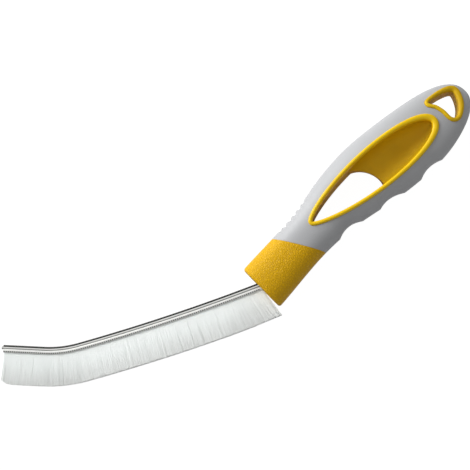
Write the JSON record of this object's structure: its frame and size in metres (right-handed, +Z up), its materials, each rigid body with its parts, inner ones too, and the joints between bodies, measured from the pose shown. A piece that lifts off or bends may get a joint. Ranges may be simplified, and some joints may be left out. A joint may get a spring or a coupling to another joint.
{
  "type": "grout brush",
  "caption": "Hand brush for tile joints: a bent strip of short nylon bristles in a steel channel, set at an angle in a two-colour moulded handle with an open loop and a hanging eye.",
  "frame": {"origin": "below the middle of the bounding box, at the lowest point of the brush lying on its side", "axes": "+X along the tip run of the strip towards the butt of the handle, +Y away from the bristles towards the butt, +Z up through the thickness"},
  "size_m": [0.258, 0.1676, 0.0257],
  "materials": {
    "collar_plastic": "satin yellow plastic with a fine leather-like grain",
    "grip_plastic": "satin silver-grey overmould",
    "liner_plastic": "smooth semi-gloss yellow plastic",
    "channel_steel": "galvanised strip, rolled",
    "wire_steel": "drawn wire",
    "bristle_nylon": "translucent white nylon filament"
  },
  "bodies": {
    "root": {"neck_core": "collar_plastic", "collar": "collar_plastic", "grip": "grip_plastic", "loop_liner": "liner_plastic", "eye_liner": "liner_plastic", "strip_channel": "channel_steel", "core_wire": "wire_steel", "bristles_tip": "bristle_nylon", "bristles_heel": "bristle_nylon"}
  },
  "joints": []
}
